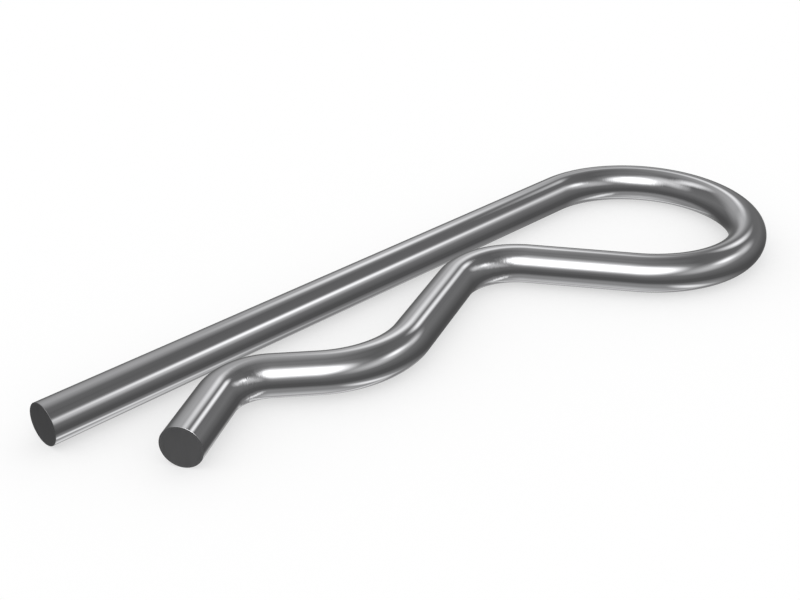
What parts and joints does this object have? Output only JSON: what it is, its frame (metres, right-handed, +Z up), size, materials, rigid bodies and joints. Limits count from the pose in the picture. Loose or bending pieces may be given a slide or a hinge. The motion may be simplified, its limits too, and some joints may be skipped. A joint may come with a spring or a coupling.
{
  "type": "hitch pin r clip",
  "caption": "R-shaped clip of round spring wire: a straight leg for a hitch pin's cross hole, a round eye, and a waved leg that grips the pin from outside.",
  "frame": {"origin": "on the ground under the middle of the clip, which lies flat on its side", "axes": "+X along the straight leg towards the eye, +Y from the waved leg towards the straight leg, +Z up, square to the clip's plane"},
  "size_m": [0.0815, 0.0276, 0.004],
  "materials": {
    "steel_wire": "smooth drawn spring wire, polished, with plain sheared ends"
  },
  "bodies": {
    "root": {"r_clip": "steel_wire"}
  },
  "joints": []
}
